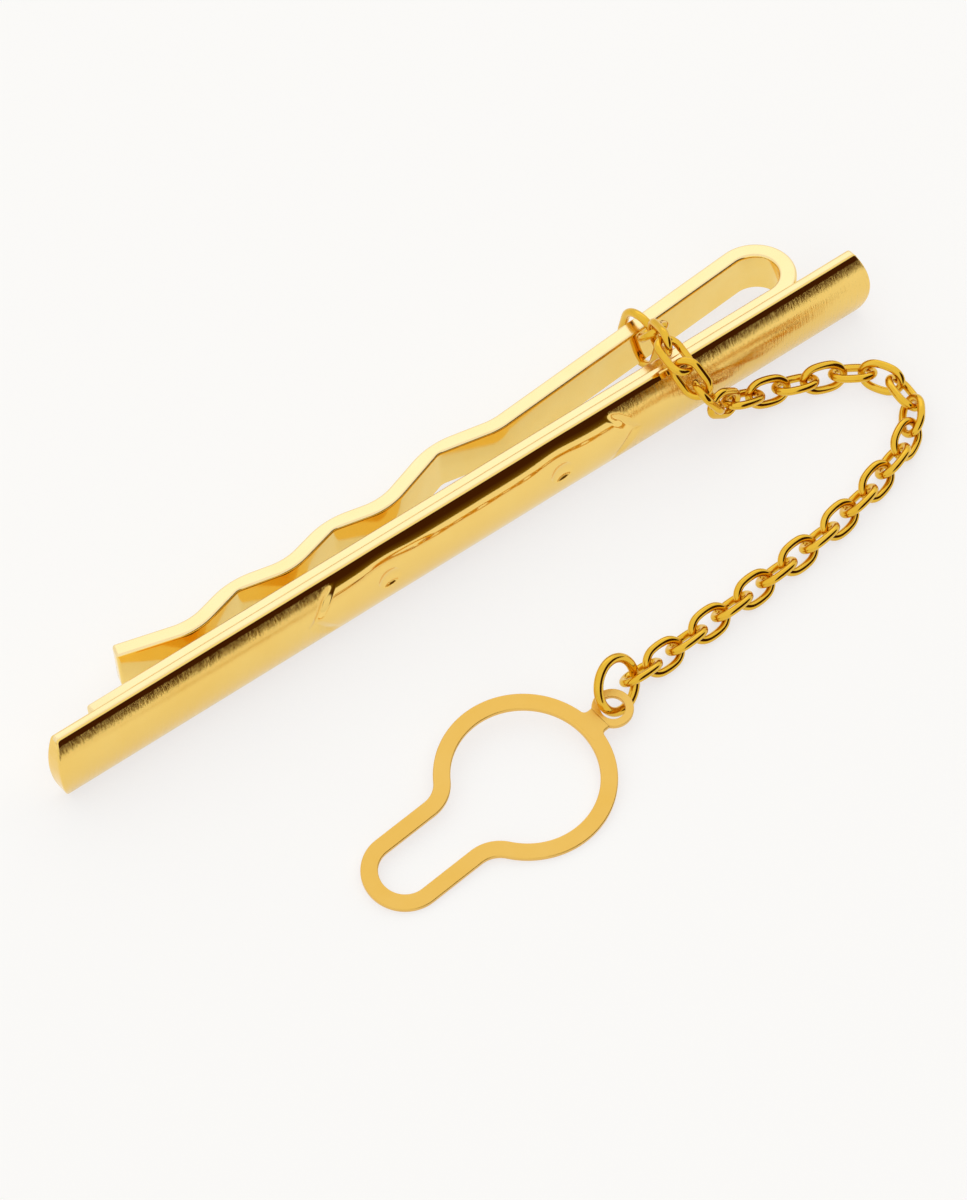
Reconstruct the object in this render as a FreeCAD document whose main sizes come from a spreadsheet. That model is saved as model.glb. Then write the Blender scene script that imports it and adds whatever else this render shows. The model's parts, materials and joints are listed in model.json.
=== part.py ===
import FreeCAD, Part
import math
import os
from FreeCAD import Matrix, Placement, Rotation, Vector

# Tie clip: an arched front bar with a bent spring strip behind it, a cable chain
# that hangs from the strip, and a flat keyhole loop for a shirt button.
# +X runs along the bar, +Y from its face to its back, +Z up from the table.
# The bar and strip lean back a little, because the bar reaches lower than the strip.

# Driving sizes: name, value in millimetres (degrees where it says so), meaning
SIZES = [
    ("bar_length", 64.8, "front bar, end to end"),
    ("bar_height", 5.3, "front bar, lower edge to upper edge"),
    ("bar_edge", 0.7, "thickness of the bar at its long edges"),
    ("bar_bulge", 0.8, "how far the arched face stands out past the edges"),
    ("bar_end_round", 0.6, "how far the bar's ends swell at mid height"),
    ("chevron_place", 12.8, "engraved chevron, apex from the bar's middle"),
    ("chevron_run", 2.0, "chevron arm, length along the bar"),
    ("groove_width", 0.7, "engraved line, width"),
    ("groove_depth", 0.13, "engraved line, depth"),
    ("dimple_place", 6.9, "round dimple, centre from the bar's middle"),
    ("dimple_width", 2.0, "round dimple, diameter"),
    ("dimple_depth", 0.3, "round dimple, depth"),
    ("strip_width", 3.1, "spring strip, width"),
    ("strip_thick", 1.15, "spring strip, thickness"),
    ("strip_low", 1.4, "strip's lower edge above the bar's lower edge"),
    ("base_inset", 3.9, "base leg's end from the bar's left end"),
    ("bow_inset", 3.45, "bow from the bar's right end"),
    ("bow_bore", 1.69, "inner radius of the bow"),
    ("tongue_slope", 4.9, "degrees that the tongue closes on the base leg"),
    ("tip_inset", 7.8, "tongue's tip from the bar's left end"),
    ("flare_run", 5.1, "flared tip, length along the bar"),
    ("flare_rise", 1.55, "flared tip, how far it turns out"),
    ("wave_pitch", 7.65, "grip waves, crest to crest"),
    ("wave_rise", 1.05, "grip waves, height"),
    ("wave_step", 0.18, "each wave lies this much further out than the one before"),
    ("wave_gap", 0.4, "last wave to the base leg"),
    ("first_rise", 1.72, "first wave from the bow, height"),
    ("first_run", 5.1, "first wave, its steep side along the bar"),
    ("lead_run", 4.4, "first wave, its long side along the bar"),
    ("wave_bend", 2.6, "bend radius of the waves at the strip's middle"),
    ("oval_inset", 8.51, "oval ring on the tongue, from the bow's middle"),
    ("oval_tall", 4.1, "oval ring, inner length"),
    ("oval_wide", 2.58, "oval ring, inner width"),
    ("oval_wire", 0.58, "oval ring, wire"),
    ("oval_lift", 0.26, "oval ring's middle above the strip's middle"),
    ("oval_pull", 0.2, "oval ring's middle nearer the bar than the strip's middle"),
    ("oval_tilt", 18.0, "degrees that the oval ring's top leans to the bar"),
    ("oval_hook", 60.0, "degrees up the oval ring's round end where the chain hooks in"),
    ("link_count", 28, "chain links"),
    ("link_wire", 0.54, "chain link, wire"),
    ("link_inner", 2.228, "chain link, inner length"),
    ("link_wide", 1.18, "chain link, inner width"),
    ("link_play", 0.26, "gap between hooked wires"),
    ("link_lie", 0.9, "chain's middle line above the table"),
    ("drape_gap", 1.2, "chain's middle line at its top, above the bar's height"),
    ("link_roll", 45.0, "degrees that links on the table lean to either side"),
    ("roll_links", 6, "links over which the chain turns from flat to leaning"),
    ("ring_bore", 2.82, "round jump ring, inner diameter"),
    ("ring_wire", 0.64, "round jump ring, wire"),
    ("ring_turn", 20.0, "degrees from +X of the jump ring's level line"),
    ("ring_lean", 30.0, "degrees that the jump ring leans back"),
    ("loop_bore", 9.45, "button loop, inner diameter of its round eye"),
    ("loop_band", 1.1, "button loop, width of its band"),
    ("loop_sheet", 0.35, "button loop, sheet thickness"),
    ("loop_turn", 5.0, "degrees from +X of the button loop's length"),
    ("stem_slot", 3.3, "button loop, width of the narrow slot"),
    ("stem_reach", 12.9, "button loop, round eye's middle to the stem's end"),
    ("neck_round", 1.75, "button loop, outer fillet where the stem joins the eye"),
    ("lug_gap", 0.25, "button loop, neck between the round eye and the lug"),
    ("lug_bore", 1.6, "button loop, hole in the lug"),
    ("lug_band", 0.55, "button loop, metal round the lug's hole"),
    ("lug_neck", 1.7, "button loop, width of the neck to the lug"),
    ("lug_round", 0.35, "button loop, fillets of the lug's neck"),
    ("lug_drop", 0.85, "loop's sheet below the jump ring's middle, in the ring's plane"),
    ("lug_slack", 0.26, "lug's hole past the jump ring's wire, along the loop"),
]

# The chain's way from the tongue over the bar and along the table.
# Points are chosen by hand: x from the oval ring and y from the bar's back, in millimetres,
# and the height as a share of the way up from links on the table to the chain's top over the bar.
ROUTE = [
    (-0.6, 2.05, 0.94),
    (-0.9, 0.1, 1.03),
    (-0.8, -1.85, 0.86),
    (-0.2, -2.8, 0.6),
    (0.8, -2.95, 0.35),
    (2.2, -2.8, 0.17),
    (4.3, -2.95, 0.07),
    (6.6, -3.65, 0.035),
    (8.9, -4.4, 0.022),
    (11.05, -5.7, 0.02),
    (12.05, -7.95, 0.018),
    (11.15, -10.3, 0.009),
    (8.2, -12.05, 0.0),
    (4.0, -13.35, 0.0),
    (-2.0, -14.35, 0.0),
    (-9.6, -15.05, 0.0),
    (-14.0, -15.4, 0.011),
    (-17.0, -15.65, 0.065),
    (-35.6, -16.65, 0.065),
]

doc = FreeCAD.newDocument("tie_clip")
sheet = doc.addObject("Spreadsheet::Sheet", "sizes")
for row, (name, value, meaning) in enumerate(SIZES, 1):
    sheet.set("A%d" % row, name)
    sheet.set("B%d" % row, str(value))
    sheet.set("C%d" % row, meaning)
    sheet.setAlias("B%d" % row, name)
doc.recompute()
size = {name: float(sheet.get(name)) for name, _, _ in SIZES}

# Formulas shared by several pieces
BAR_DEPTH = "(sizes.bar_edge + sizes.bar_bulge)"
CROWN_RADIUS = "((sizes.bar_height ^ 2 / 4 + sizes.bar_bulge ^ 2) / (2 * sizes.bar_bulge))"
END_RADIUS = "((sizes.bar_height ^ 2 / 4 + sizes.bar_end_round ^ 2) / (2 * sizes.bar_end_round))"
DIMPLE_RADIUS = "((sizes.dimple_width ^ 2 / 4 + sizes.dimple_depth ^ 2) / (2 * sizes.dimple_depth))"
BOW_OUTER = "(sizes.bow_bore + sizes.strip_thick)"
BOW_PLACE = "(sizes.bar_length / 2 - sizes.bow_inset - %s)" % BOW_OUTER
EYE_OUTER = "(sizes.loop_bore / 2 + sizes.loop_band)"
STEM_OUTER = "(sizes.stem_slot / 2 + sizes.loop_band)"
LUG_OUTER = "(sizes.lug_bore / 2 + sizes.lug_band)"
LUG_REACH = "(%s + sizes.lug_gap + %s)" % (EYE_OUTER, LUG_OUTER)


def add(kind, name, rules, turn=None):
    """A new object whose sizes follow the sheet; x, y and z place it."""
    piece = doc.addObject(kind, name)
    if turn:
        piece.Placement = Placement(Vector(), Rotation(*turn))
    for key, rule in rules.items():
        piece.setExpression("Placement.Base." + key if key in "xyz" else key, rule)
    return piece


def join(kind, name, pieces):
    """A boolean of several pieces."""
    piece = doc.addObject(kind, name)
    if kind == "Part::Cut":
        piece.Base, piece.Tool = pieces
    else:
        piece.Shapes = pieces
    return piece


def shaped(name, shape, place=None):
    """A piece whose shape is worked out here."""
    piece = doc.addObject("Part::Feature", name)
    piece.Shape = shape
    if place:
        piece.Placement = place
    return piece


def framed(middle, along, normal):
    """The placement that puts local X along one direction and local Z along another."""
    side = normal.cross(along)
    return Placement(Matrix(
        along.x, side.x, normal.x, middle.x,
        along.y, side.y, normal.y, middle.y,
        along.z, side.z, normal.z, middle.z,
        0, 0, 0, 1,
    ))


def crown_cylinder(name, radius):
    """A cylinder along the bar, under its arched face."""
    rules = {
        "Radius": radius,
        "Height": "sizes.bar_length",
        "x": "-sizes.bar_length / 2",
        "y": "%s - %s" % (CROWN_RADIUS, BAR_DEPTH),
        "z": "sizes.bar_height / 2",
    }
    return add("Part::Cylinder", name, rules, (Vector(0, 1, 0), 90))


def front_bar():
    """The arched bar with swelled ends, two engraved chevrons and two dimples."""
    blank = add("Part::Box", "bar_blank", {
        "Length": "sizes.bar_length",
        "Width": BAR_DEPTH,
        "Height": "sizes.bar_height",
        "x": "-sizes.bar_length / 2",
        "y": "-" + BAR_DEPTH,
    })
    crown = crown_cylinder("bar_crown", CROWN_RADIUS)
    outline = [add("Part::Box", "bar_outline", {
        "Length": "sizes.bar_length - 2 * %s" % END_RADIUS,
        "Width": BAR_DEPTH,
        "Height": "sizes.bar_height",
        "x": "%s - sizes.bar_length / 2" % END_RADIUS,
        "y": "-" + BAR_DEPTH,
    })]
    for side in (-1, 1):
        outline.append(add("Part::Cylinder", "bar_end", {
            "Radius": END_RADIUS,
            "Height": BAR_DEPTH,
            "x": "%d * (sizes.bar_length / 2 - %s)" % (side, END_RADIUS),
            "z": "sizes.bar_height / 2",
        }, (Vector(1, 0, 0), 90)))
    ends = join("Part::MultiFuse", "bar_ends", outline)
    plain = join("Part::MultiCommon", "bar_plain", [blank, crown, ends])

    rise = size["bar_height"] / 2
    slant = math.degrees(math.atan2(rise, size["chevron_run"]))
    arms = []
    cuts = []
    for side in (-1, 1):
        for way in (-1, 1):
            arm = add("Part::Box", "chevron_arm", {
                "Length": "sqrt(sizes.chevron_run ^ 2 + sizes.bar_height ^ 2 / 4) + sizes.groove_width",
                "Width": "sizes.bar_bulge + sizes.groove_depth + sizes.groove_width",
                "Height": "sizes.groove_width",
            })
            apex = Vector(side * size["chevron_place"], 0, rise)
            front = -size["bar_edge"] - size["bar_bulge"] - size["groove_width"]
            heading = -slant * way if side < 0 else way * slant - 180
            turn = Rotation(Vector(0, 1, 0), heading)
            arm.Placement = Placement(
                apex + Vector(0, front, 0) + turn.multVec(Vector(0, 0, -size["groove_width"] / 2)), turn)
            arms.append(arm)
        cuts.append(add("Part::Sphere", "dimple", {
            "Radius": DIMPLE_RADIUS,
            "x": "%d * sizes.dimple_place" % side,
            "y": "sizes.dimple_depth - %s - %s" % (BAR_DEPTH, DIMPLE_RADIUS),
            "z": "sizes.bar_height / 2",
        }))
    under = crown_cylinder("groove_floor", CROWN_RADIUS + " - sizes.groove_depth")
    cuts.append(join("Part::Cut", "chevrons", [join("Part::MultiFuse", "chevron_arms", arms), under]))
    return join("Part::Cut", "front_bar", [plain, join("Part::MultiFuse", "bar_cuts", cuts)])


def clip_base_leg():
    """The straight leg of the strip, flat against the bar's back."""
    return add("Part::Box", "clip_base_leg", {
        "Length": "%s + sizes.bar_length / 2 - sizes.base_inset" % BOW_PLACE,
        "Width": "sizes.strip_thick",
        "Height": "sizes.strip_width",
        "x": "sizes.base_inset - sizes.bar_length / 2",
        "z": "sizes.strip_low",
    })


def clip_bow():
    """The bend that joins the two legs and works as their spring."""
    place = {"x": BOW_PLACE, "y": BOW_OUTER, "z": "sizes.strip_low", "Height": "sizes.strip_width"}
    outer = add("Part::Cylinder", "bow_outer",
                {"Radius": BOW_OUTER, "Angle": "180 + sizes.tongue_slope", **place},
                (Vector(0, 0, 1), -90))
    inner = add("Part::Cylinder", "bow_inner", {"Radius": "sizes.bow_bore", **place})
    return join("Part::Cut", "clip_bow", [outer, inner])


def bow_middle():
    """The bow's centre in the strip's plane, and the radius of its middle line."""
    outer = size["bow_bore"] + size["strip_thick"]
    middle = Vector(size["bar_length"] / 2 - size["bow_inset"] - outer, outer, 0)
    return middle, size["bow_bore"] + size["strip_thick"] / 2


def tongue_line():
    """Corners of the tongue's middle line, from the bow to the flared tip."""
    middle, radius = bow_middle()
    slope = math.radians(size["tongue_slope"])
    start = middle + Vector(-math.sin(slope), math.cos(slope), 0) * radius
    tip = size["tip_inset"] - size["bar_length"] / 2
    low = 1.5 * size["strip_thick"] + size["wave_gap"]
    line = [Vector(tip, low + size["flare_rise"], 0)]
    trough = tip + size["flare_run"]
    for wave in range(2):
        line.append(Vector(trough, low, 0))
        line.append(Vector(trough + size["wave_pitch"] / 2, low + size["wave_rise"], 0))
        trough += size["wave_pitch"]
        low += size["wave_step"]
    line.append(Vector(trough, low, 0))
    crest = trough + size["first_run"]
    line.append(Vector(crest, low + size["first_rise"], 0))
    lead = crest + size["lead_run"]
    line.append(Vector(lead, start.y - (start.x - lead) * math.tan(slope), 0))
    line.append(start)
    line.reverse()
    return line


def bent_strip(line, bend, thick):
    """The face of a strip of even thickness whose middle line turns its corners in arcs."""
    half = thick / 2
    ways = [(b - a).normalize() for a, b in zip(line, line[1:])]
    lefts = [Vector(-way.y, way.x, 0) for way in ways]
    sides = []
    for side in (1, -1):
        edges = []
        last = line[0] + lefts[0] * (side * half)
        for i in range(1, len(line) - 1):
            turn = math.atan2(ways[i - 1].cross(ways[i]).z, ways[i - 1].dot(ways[i]))
            hand = math.copysign(1, turn)
            tangent = bend * math.tan(abs(turn) / 2)
            enter = line[i] - ways[i - 1] * tangent
            centre = enter + lefts[i - 1] * (hand * bend)
            radius = bend - hand * side * half
            first = enter + lefts[i - 1] * (side * half)
            middle = centre + (line[i] - centre).normalize() * radius
            then = line[i] + ways[i] * tangent + lefts[i] * (side * half)
            edges.append(Part.LineSegment(last, first).toShape())
            edges.append(Part.Arc(first, middle, then).toShape())
            last = then
        end = line[-1] + lefts[-1] * (side * half)
        edges.append(Part.LineSegment(last, end).toShape())
        sides.append((edges, end))
    begin = Part.LineSegment(line[0] + lefts[0] * half, line[0] - lefts[0] * half).toShape()
    finish = Part.LineSegment(sides[0][1], sides[1][1]).toShape()
    outline = sides[0][0] + [finish] + sides[1][0] + [begin]
    return Part.Face(Part.Wire(Part.__sortEdges__(outline)))


def clip_tongue():
    """The free leg, with its grip waves and flared tip."""
    face = bent_strip(tongue_line(), size["wave_bend"], size["strip_thick"])
    face.translate(Vector(0, 0, size["strip_low"]))
    return shaped("clip_tongue", face.extrude(Vector(0, 0, size["strip_width"])))


def oval(inner_length, inner_width, wire):
    """A closed ring of round wire, long along X and flat in XY."""
    reach = (inner_length - inner_width) / 2
    middle = (inner_width + wire) / 2
    path = Part.Wire([
        Part.LineSegment(Vector(0, -middle, 0), Vector(reach, -middle, 0)).toShape(),
        Part.Arc(Vector(reach, -middle, 0), Vector(reach + middle, 0, 0), Vector(reach, middle, 0)).toShape(),
        Part.LineSegment(Vector(reach, middle, 0), Vector(-reach, middle, 0)).toShape(),
        Part.Arc(Vector(-reach, middle, 0), Vector(-reach - middle, 0, 0), Vector(-reach, -middle, 0)).toShape(),
        Part.LineSegment(Vector(-reach, -middle, 0), Vector(0, -middle, 0)).toShape(),
    ])
    round_wire = Part.Wire(Part.Circle(Vector(0, -middle, 0), Vector(1, 0, 0), wire / 2).toShape())
    ring = path.makePipeShell([round_wire], True, False)
    expected = path.Length * math.pi * wire ** 2 / 4
    if abs(ring.Volume - expected) > 0.01 * expected:
        raise RuntimeError("an oval ring has the wrong volume: %.4f, not %.4f" % (ring.Volume, expected))
    return ring


def tongue_at(place):
    """The tongue's middle line at a distance along the bar, on its straight stretch."""
    start = tongue_line()[0]
    slope = math.radians(size["tongue_slope"])
    point = Vector(place, start.y - (start.x - place) * math.tan(slope), 0)
    return point, Vector(math.cos(slope), math.sin(slope), 0)


def oval_place():
    """How far along the bar the oval ring sits on the tongue."""
    middle, _ = bow_middle()
    return middle.x - size["oval_inset"]


def oval_middle():
    """The oval ring's middle before the clip leans back."""
    point, _ = tongue_at(oval_place())
    return point + Vector(0, -size["oval_pull"], size["strip_low"] + size["strip_width"] / 2 + size["oval_lift"])


def clip_lean():
    """Degrees that the clip leans back to rest on the bar's lower edge and the oval ring."""
    middle = oval_middle()
    tilt = math.radians(size["oval_tilt"])
    reach = (size["oval_tall"] - size["oval_wide"]) / 2
    rise, back = middle.z - reach * math.cos(tilt), middle.y + reach * math.sin(tilt)
    under = size["oval_wide"] / 2 + size["oval_wire"]
    return math.degrees(math.acos(under / math.hypot(rise, back)) - math.atan2(back, rise))


lean = Placement(Vector(), Rotation(Vector(1, 0, 0), -clip_lean()))


def oval_frame():
    """Middle, long direction and normal of the oval ring on the leaning tongue."""
    _, along = tongue_at(oval_place())
    tilt = math.radians(size["oval_tilt"])
    upright = Vector(0, 0, math.cos(tilt)) + along.cross(Vector(0, 0, 1)) * math.sin(tilt)
    return lean.multVec(oval_middle()), lean.Rotation.multVec(upright), lean.Rotation.multVec(along)


def tongue_ring():
    """The oval ring that hangs the chain on the tongue."""
    middle, upright, normal = oval_frame()
    shape = oval(size["oval_tall"], size["oval_wide"], size["oval_wire"])
    return shaped("tongue_ring", shape, framed(middle, upright, normal))


def hook_point():
    """Where the chain hooks into the oval ring: its wire's centre and direction."""
    middle, upright, normal = oval_frame()
    forward = upright.cross(normal)
    if forward.y > 0:
        forward = forward * -1
    angle = math.radians(size["oval_hook"])
    reach = (size["oval_wide"] + size["oval_wire"]) / 2
    shoulder = middle + upright * ((size["oval_tall"] - size["oval_wide"]) / 2)
    wire = shoulder + (forward * math.cos(angle) + upright * math.sin(angle)) * reach
    return wire, upright * math.cos(angle) - forward * math.sin(angle)


def chain_joints():
    """Points where the links hook into each other, one pitch apart along the route."""
    ring = oval_place()
    lie = size["link_lie"]
    climb = size["bar_height"] + size["drape_gap"] - lie
    way = [Vector(ring + x, y, lie + climb * share) for x, y, share in ROUTE]
    wire, _ = hook_point()
    first = wire - (way[0] - wire).normalize() * ((size["oval_wire"] + size["link_play"]) / 2)
    curve = Part.BSplineCurve()
    curve.interpolate([first] + way)
    route = curve.toShape()
    pitch = size["link_inner"] - size["link_play"]
    joints = [first]
    travelled = 0.0
    for _ in range(int(size["link_count"])):
        near, far = travelled + 0.5 * pitch, travelled + 1.6 * pitch
        while far - near > 1e-9:
            travelled = (near + far) / 2
            point = route.valueAt(route.getParameterByLength(travelled))
            if (point - joints[-1]).Length < pitch:
                near = travelled
            else:
                far = travelled
        joints.append(point)
    return joints


def link_frames():
    """Middle, direction and normal of each link: neighbours stand square to each other."""
    joints = chain_joints()
    ways = [(b - a).normalize() for a, b in zip(joints, joints[1:])]
    _, over = hook_point()
    overs = []
    for way in ways:
        over = (over - way * over.dot(way)).normalize()
        overs.append(over)
    upright = (Vector(0, 0, 1) - ways[-1] * ways[-1].z).normalize()
    lag = math.atan2(ways[-1].dot(over.cross(upright)), over.dot(upright))
    settle = lag - math.radians(size["link_roll"])
    frames = []
    for i, (way, over) in enumerate(zip(ways, overs)):
        roll = math.radians(90 * i) + settle * min(1.0, i / size["roll_links"])
        normal = over * math.cos(roll) + way.cross(over) * math.sin(roll)
        frames.append(((joints[i] + joints[i + 1]) * 0.5, way, normal))
    return frames


def chain_links():
    """The links, each in its own place on the route."""
    shape = oval(size["link_inner"], size["link_wide"], size["link_wire"])
    return [
        shaped("chain_link_%02d" % i, shape.copy(), framed(*frame))
        for i, frame in enumerate(link_frames(), 1)
    ]


def ring_frame():
    """The jump ring's middle, its level direction, its steep direction and its radius."""
    turn, tilt = math.radians(size["ring_turn"]), math.radians(size["ring_lean"])
    level = Vector(math.cos(turn), math.sin(turn), 0)
    steep = Vector(-math.sin(turn) * math.sin(tilt), math.cos(turn) * math.sin(tilt), math.cos(tilt))
    radius = (size["ring_bore"] + size["ring_wire"]) / 2
    height = radius * math.cos(tilt) + size["ring_wire"] / 2
    joints = chain_joints()
    along = (joints[-1] - joints[-2]).normalize()
    hooked = joints[-1] - along * ((size["ring_wire"] + size["link_play"]) / 2)
    angle = math.asin((hooked.z - height) / (radius * math.cos(tilt)))
    middle = hooked - (level * math.cos(angle) + steep * math.sin(angle)) * radius
    return middle, level, steep, radius


def loop_ring():
    """The round jump ring between the chain and the button loop."""
    ring = add("Part::Torus", "loop_ring", {
        "Radius1": "(sizes.ring_bore + sizes.ring_wire) / 2",
        "Radius2": "sizes.ring_wire / 2",
    })
    middle, level, steep, _ = ring_frame()
    ring.Placement = framed(middle, level, level.cross(steep))
    return ring


def lug_reach():
    """From the loop's round eye to the hole of its lug, middle to middle."""
    return size["loop_bore"] / 2 + size["loop_band"] + size["lug_gap"] + size["lug_band"] + size["lug_bore"] / 2


def loop_frame():
    """The lug's hole on the jump ring, and the direction and normal of the loop as it lies on the table."""
    middle, level, steep, radius = ring_frame()
    drop = size["lug_drop"]
    hook = middle - steep * drop - level * math.sqrt(radius ** 2 - drop ** 2)
    half = size["loop_sheet"] / 2
    eye = size["loop_bore"] / 2 + size["loop_band"]
    stem = size["stem_slot"] / 2 + size["loop_band"]
    # The eye and the stem's end both touch the table: the whole slope is a fixed multiple of the pitch.
    steeper = (size["stem_reach"] - stem) / (eye - stem)
    pitch = 0.0
    for _ in range(8):
        upright = math.sqrt(1 - (steeper * pitch) ** 2)
        pitch = (hook.z - half * upright) / (lug_reach() - size["lug_slack"] + eye * steeper)
    turn = math.radians(size["loop_turn"])
    level_way = Vector(math.cos(turn), math.sin(turn), 0)
    fall = math.sqrt(1 - pitch ** 2)
    along = level_way * fall + Vector(0, 0, pitch)
    roll = math.asin(pitch * math.sqrt(steeper ** 2 - 1) / fall)
    upward = Vector(0, 0, fall) - level_way * pitch
    normal = upward * math.cos(roll) - upward.cross(along) * math.sin(roll)
    return hook + along * size["lug_slack"], along, normal


def disc(name, radius, x):
    """A disc of the loop's sheet."""
    return add("Part::Cylinder", name, {
        "Radius": radius, "Height": "sizes.loop_sheet", "x": x, "z": "-sizes.loop_sheet / 2"})


def plate(name, length, width, x):
    """A strip of the loop's sheet along its length."""
    return add("Part::Box", name, {
        "Length": length, "Width": width, "Height": "sizes.loop_sheet",
        "x": x, "y": "-%s / 2" % width, "z": "-sizes.loop_sheet / 2"})


def button_loop():
    """The flat keyhole loop: a round eye, a stem with a narrow slot and a small lug."""
    stem_end = "%s - %s - sizes.stem_reach" % (STEM_OUTER, LUG_REACH)
    stem_run = "sizes.stem_reach - %s" % STEM_OUTER
    blank = join("Part::MultiFuse", "loop_blank", [
        disc("eye_blank", EYE_OUTER, "-" + LUG_REACH),
        plate("stem_blank", stem_run, "(2 * %s)" % STEM_OUTER, stem_end),
        disc("stem_end_blank", STEM_OUTER, stem_end),
        plate("lug_neck_blank", LUG_REACH, "sizes.lug_neck", "-" + LUG_REACH),
        disc("lug_blank", LUG_OUTER, "0"),
    ])
    cutters = join("Part::MultiFuse", "loop_cutters", [
        disc("eye_bore", "sizes.loop_bore / 2", "-" + LUG_REACH),
        plate("slot", stem_run, "sizes.stem_slot", stem_end),
        disc("slot_end", "sizes.stem_slot / 2", stem_end),
        disc("lug_hole", "sizes.lug_bore / 2", "0"),
    ])
    sharp = join("Part::Cut", "loop_sharp", [blank, cutters])
    doc.recompute()

    eye = size["loop_bore"] / 2
    outer = eye + size["loop_band"]
    stem = size["stem_slot"] / 2 + size["loop_band"]
    lug = size["lug_bore"] / 2 + size["lug_band"]
    reach = lug_reach()
    corners = [
        (-reach - math.sqrt(outer ** 2 - stem ** 2), stem, size["neck_round"]),
        (-reach - math.sqrt(eye ** 2 - size["stem_slot"] ** 2 / 4), size["stem_slot"] / 2,
         size["neck_round"] + size["loop_band"]),
        (math.sqrt(outer ** 2 - size["lug_neck"] ** 2 / 4) - reach, size["lug_neck"] / 2, size["lug_round"]),
        (-math.sqrt(lug ** 2 - size["lug_neck"] ** 2 / 4), size["lug_neck"] / 2, size["lug_round"] / 2),
    ]
    fillets = []
    for number, edge in enumerate(sharp.Shape.Edges, 1):
        ends = [vertex.Point for vertex in edge.Vertexes]
        if len(ends) < 2 or (ends[1] - ends[0]).cross(Vector(0, 0, 1)).Length > 1e-6:
            continue
        for x, y, radius in corners:
            if math.hypot(ends[0].x - x, abs(ends[0].y) - y) < 1e-4:
                fillets.append((number, radius, radius))
    if len(fillets) != 2 * len(corners):
        raise RuntimeError("the loop has %d of its %d fillets" % (len(fillets), 2 * len(corners)))
    loop = doc.addObject("Part::Fillet", "button_loop")
    loop.Base = sharp
    loop.Edges = fillets
    loop.Placement = framed(*loop_frame())
    return loop


leaning = [front_bar(), clip_base_leg(), clip_bow(), clip_tongue()]
pieces = leaning + [tongue_ring()] + chain_links() + [loop_ring(), button_loop()]
doc.recompute()
for piece in leaning:
    for key, _ in piece.ExpressionEngine:
        if "Placement" in key:
            piece.setExpression(key, None)
    piece.Placement = lean.multiply(piece.Placement)
doc.recompute()

names = ["front_bar", "clip_base_leg", "clip_bow", "clip_tongue", "tongue_ring"]
names += ["chain_link_%02d" % i for i in range(1, int(size["link_count"]) + 1)]
names += ["loop_ring", "button_loop"]
for piece, name in zip(pieces, names):
    piece.Label = name
for thing in doc.Objects:
    if "Invalid" in thing.State or "Error" in thing.State:
        raise RuntimeError("%s could not be worked out" % thing.Name)
for piece in pieces:
    if piece.Shape.isNull() or not piece.Shape.isValid() or len(piece.Shape.Solids) != 1:
        raise RuntimeError("%s is not one whole solid" % piece.Label)

os.makedirs("parts", exist_ok=True)
for piece in pieces:
    piece.Shape.exportStep("parts/%s.step" % piece.Label)
print("%d pieces; the clip leans %.2f degrees" % (len(pieces), clip_lean()))
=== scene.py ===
import json
import math
import bmesh
import bpy
import numpy as np
from mathutils import Matrix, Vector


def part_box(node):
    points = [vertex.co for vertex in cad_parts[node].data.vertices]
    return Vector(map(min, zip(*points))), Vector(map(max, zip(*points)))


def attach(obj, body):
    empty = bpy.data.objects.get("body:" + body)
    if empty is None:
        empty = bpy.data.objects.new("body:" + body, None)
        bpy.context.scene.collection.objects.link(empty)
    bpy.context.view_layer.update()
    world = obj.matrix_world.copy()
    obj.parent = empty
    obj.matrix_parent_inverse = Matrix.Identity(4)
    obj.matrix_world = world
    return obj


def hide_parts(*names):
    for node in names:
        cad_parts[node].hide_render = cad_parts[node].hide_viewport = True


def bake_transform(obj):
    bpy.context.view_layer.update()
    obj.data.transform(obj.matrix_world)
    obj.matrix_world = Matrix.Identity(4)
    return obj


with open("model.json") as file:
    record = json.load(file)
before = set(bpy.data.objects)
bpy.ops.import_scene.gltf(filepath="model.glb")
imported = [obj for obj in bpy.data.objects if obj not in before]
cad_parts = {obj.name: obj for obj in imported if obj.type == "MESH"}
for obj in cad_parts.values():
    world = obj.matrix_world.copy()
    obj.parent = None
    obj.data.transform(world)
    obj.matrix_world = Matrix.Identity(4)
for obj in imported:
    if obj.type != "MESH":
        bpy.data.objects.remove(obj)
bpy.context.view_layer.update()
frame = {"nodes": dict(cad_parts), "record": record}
scene = bpy.context.scene
scene.view_settings.view_transform = "Standard"
mm = 0.001
joints = {joint["name"]: joint for joint in frame["record"]["behaviour"]["joints"]}
mounts = {mount["name"]: mount for mount in frame["record"]["mounts"]}
linkCount = sum(name.startswith("chain_link") for name in frame["nodes"])
print("frame loaded,", linkCount, "chain links")


def unit(v):
    v = np.asarray(v, float)
    return v / np.linalg.norm(v)


def smoothStep(low, high, x):
    # 0 up to low, 1 from high on, and an even cubic between
    t = np.clip((x - low) / (high - low), 0, 1)
    return t * t * (3 - 2 * t)


def hexToLinear(code):
    # sRGB hex to linear colour: a straight foot, then a power of 2.4
    srgb = np.array([int(code[i:i + 2], 16) for i in (1, 3, 5)]) / 255
    linear = np.where(srgb <= 0.04045, srgb / 12.92, ((srgb + 0.055) / 1.055) ** 2.4)
    return (*linear.tolist(), 1.0)


def addNode(tree, kind, settings=None, links=None):
    # settings go to properties or to sockets by name or number; links give each socket its source
    node = tree.nodes.new(kind)
    for key, value in (settings or {}).items():
        if isinstance(key, str) and hasattr(node, key):
            setattr(node, key, value)
        else:
            node.inputs[key].default_value = value
    for key, source in (links or {}).items():
        tree.links.new(source, node.inputs[key])
    return node


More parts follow.
